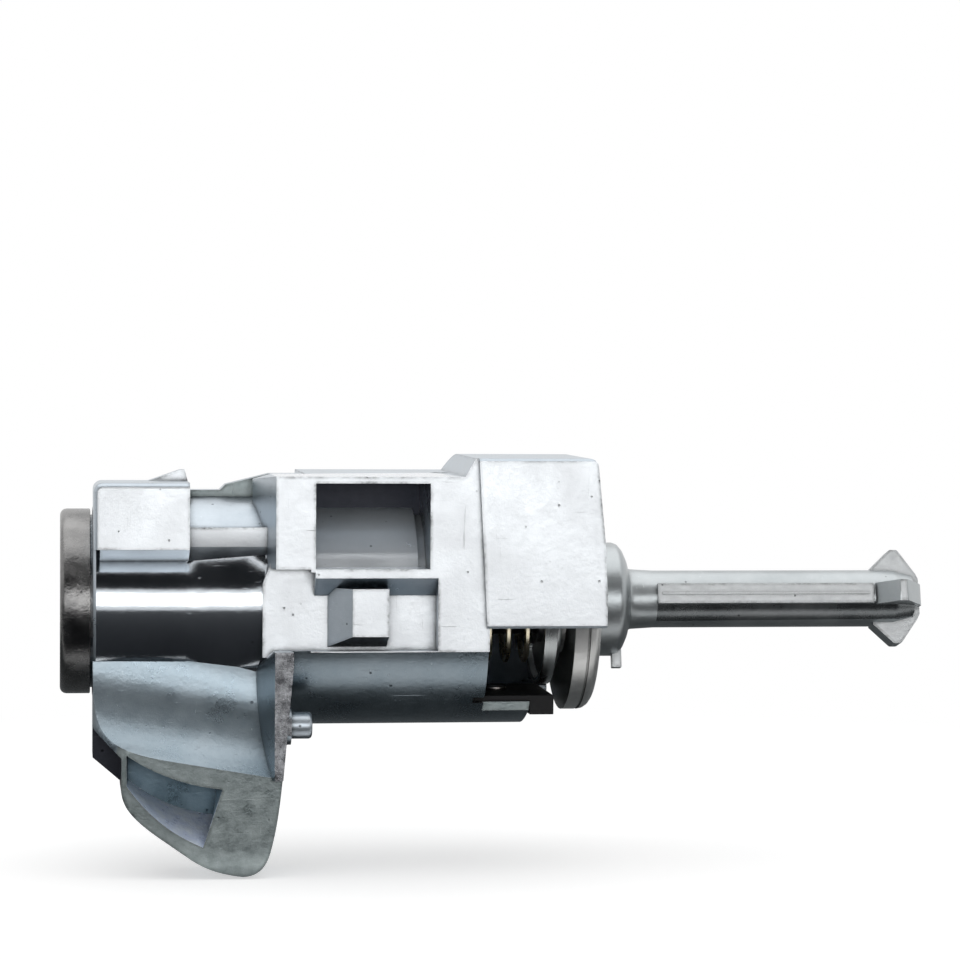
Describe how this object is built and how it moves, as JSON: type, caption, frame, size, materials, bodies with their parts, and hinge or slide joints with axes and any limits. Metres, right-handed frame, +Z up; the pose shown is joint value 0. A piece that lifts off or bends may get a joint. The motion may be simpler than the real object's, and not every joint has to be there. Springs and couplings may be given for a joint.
{
  "type": "car door lock cylinder",
  "caption": "Die-cast car door lock cylinder with turning plug, wafers, return spring, drive disc and cross-tipped tail shaft.",
  "frame": {"origin": "on the lock axis, where the front cap meets the casting", "axes": "+X along the lock axis from the front cap to the tail, +Z up, the side with the two windows faces -Y"},
  "size_m": [0.1207, 0.0358, 0.056],
  "materials": {
    "zinc_casting": "bright zinc-plated die casting",
    "cap_steel": "dark brushed steel",
    "seal_rubber": "matt rubber",
    "sleeve_brass": "turned",
    "plug_metal": "satin zinc",
    "wafer_brass": "stamped",
    "spring_steel": "oiled spring wire",
    "pin_steel": "ground",
    "disc_metal": "matt warm grey casting",
    "seat_plating": "satin plated",
    "tail_zinc": "satin zinc casting",
    "black_plastic": "black moulded"
  },
  "bodies": {
    "casing": {"housing": "zinc_casting", "front_cap": "cap_steel", "cap_seal": "seal_rubber", "lock_sleeve": "sleeve_brass", "sleeve_pin": "pin_steel", "return_spring": "spring_steel", "spring_retainer": "black_plastic", "retainer_rivet": "pin_steel"},
    "core": {"plug": "plug_metal", "wafer_comb_right": "spring_steel", "wafer_comb_left": "spring_steel", "shutter_pin": "pin_steel", "shutter_spring": "spring_steel", "plug_clip": "pin_steel", "drive_coupler": "plug_metal", "coupler_pin": "pin_steel"},
    "tail": {"spring_seat": "seat_plating", "thrust_washer": "pin_steel", "drive_disc": "disc_metal", "tail_shaft": "tail_zinc", "tail_pin": "tail_zinc", "coupler_clip": "pin_steel"},
    "flap": {"shutter": "pin_steel"},
    "wafer_a": {"wafer_1": "wafer_brass"},
    "wafer_b": {"wafer_2": "wafer_brass"},
    "wafer_c": {"wafer_3": "wafer_brass"},
    "wafer_d": {"wafer_4": "wafer_brass"},
    "wafer_e": {"wafer_5": "wafer_brass"},
    "wafer_f": {"wafer_6": "wafer_brass"},
    "wafer_g": {"wafer_7": "wafer_brass"},
    "wafer_h": {"wafer_8": "wafer_brass"}
  },
  "joints": [
    {"name": "plug_turn", "type": "hinge", "parent": "casing", "child": "core", "pos_m": [0, 0, 0], "axis": [1, 0, 0], "range_deg": [-90, 90], "stiffness_Nm_per_rad": 0.15, "deforming": ["return_spring"]},
    {"name": "tail_turn", "type": "hinge", "parent": "casing", "child": "tail", "pos_m": [0.067, 0, 0], "axis": [1, 0, 0], "range_deg": [-90, 90]},
    {"name": "shutter_swing", "type": "hinge", "parent": "core", "child": "flap", "pos_m": [-0.0017, 0.00235, 0], "axis": [0, 0, 1], "range_deg": [0, 78], "stiffness_Nm_per_rad": 0.0005},
    {"name": "wafer_1_slide", "type": "slide", "parent": "core", "child": "wafer_a", "axis": [0, 0, 1], "range_m": [0, 0.0009]},
    {"name": "wafer_2_slide", "type": "slide", "parent": "core", "child": "wafer_b", "axis": [0, 0, -1], "range_m": [0, 0.0009]},
    {"name": "wafer_3_slide", "type": "slide", "parent": "core", "child": "wafer_c", "axis": [0, 0, 1], "range_m": [0, 0.0009]},
    {"name": "wafer_4_slide", "type": "slide", "parent": "core", "child": "wafer_d", "axis": [0, 0, -1], "range_m": [0, 0.0009]},
    {"name": "wafer_5_slide", "type": "slide", "parent": "core", "child": "wafer_e", "axis": [0, 0, 1], "range_m": [0, 0.0009]},
    {"name": "wafer_6_slide", "type": "slide", "parent": "core", "child": "wafer_f", "axis": [0, 0, -1], "range_m": [0, 0.0009]},
    {"name": "wafer_7_slide", "type": "slide", "parent": "core", "child": "wafer_g", "axis": [0, 0, 1], "range_m": [0, 0.0009]},
    {"name": "wafer_8_slide", "type": "slide", "parent": "core", "child": "wafer_h", "axis": [0, 0, -1], "range_m": [0, 0.0009]}
  ],
  "couplings": [
    {"joint": "tail_turn", "follows": "plug_turn", "ratio": 1},
    {"joint": "wafer_2_slide", "follows": "wafer_1_slide", "ratio": 1},
    {"joint": "wafer_3_slide", "follows": "wafer_1_slide", "ratio": 1},
    {"joint": "wafer_4_slide", "follows": "wafer_1_slide", "ratio": 1},
    {"joint": "wafer_5_slide", "follows": "wafer_1_slide", "ratio": 1},
    {"joint": "wafer_6_slide", "follows": "wafer_1_slide", "ratio": 1},
    {"joint": "wafer_7_slide", "follows": "wafer_1_slide", "ratio": 1},
    {"joint": "wafer_8_slide", "follows": "wafer_1_slide", "ratio": 1}
  ]
}
